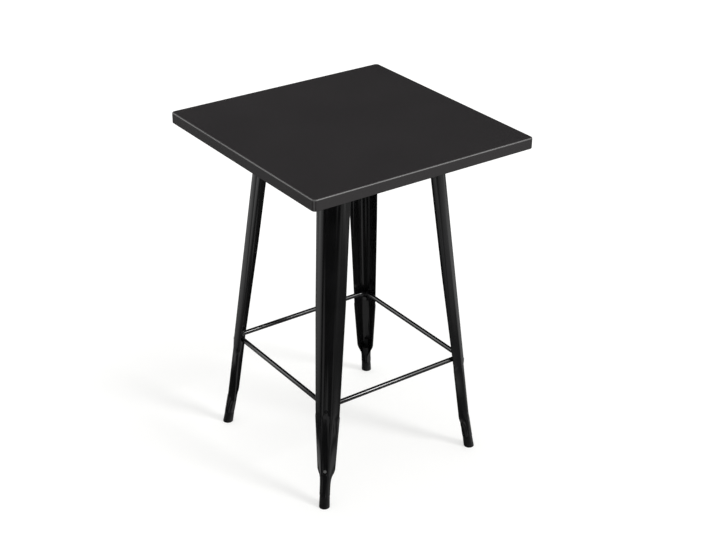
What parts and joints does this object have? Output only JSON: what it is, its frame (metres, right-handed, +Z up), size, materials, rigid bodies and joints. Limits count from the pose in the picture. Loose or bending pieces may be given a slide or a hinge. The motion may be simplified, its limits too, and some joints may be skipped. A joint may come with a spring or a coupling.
{
  "type": "pub table",
  "caption": "Square bar-height table: folded steel top on splayed pressed-steel legs, tied by a square rod footrest and standing on rubber boots.",
  "frame": {"origin": "on the floor, under the middle of the table top", "axes": "+Z up, X and Y along the sides of the square top; the leg nearest the picture's camera is at -X -Y"},
  "size_m": [0.705, 0.705, 1.003],
  "materials": {
    "top": "matte",
    "frame": "satin",
    "legs": "gloss",
    "footrest": "gloss",
    "hardware": "satin",
    "boots": "matte"
  },
  "bodies": {
    "root": {"table_top": "top", "top_brace_right": "frame", "top_brace_rear": "frame", "top_brace_left": "frame", "top_brace_front": "frame", "apron_rail_right": "frame", "apron_rail_rear": "frame", "apron_rail_left": "frame", "apron_rail_front": "frame", "leg_rear_right": "legs", "leg_rear_left": "legs", "leg_front_left": "legs", "leg_front_right": "legs", "foot_rear_right": "boots", "foot_rear_left": "boots", "foot_front_left": "boots", "foot_front_right": "boots", "footrest_ring": "footrest", "footrest_bosses": "footrest", "leg_bolts": "hardware"}
  },
  "joints": []
}
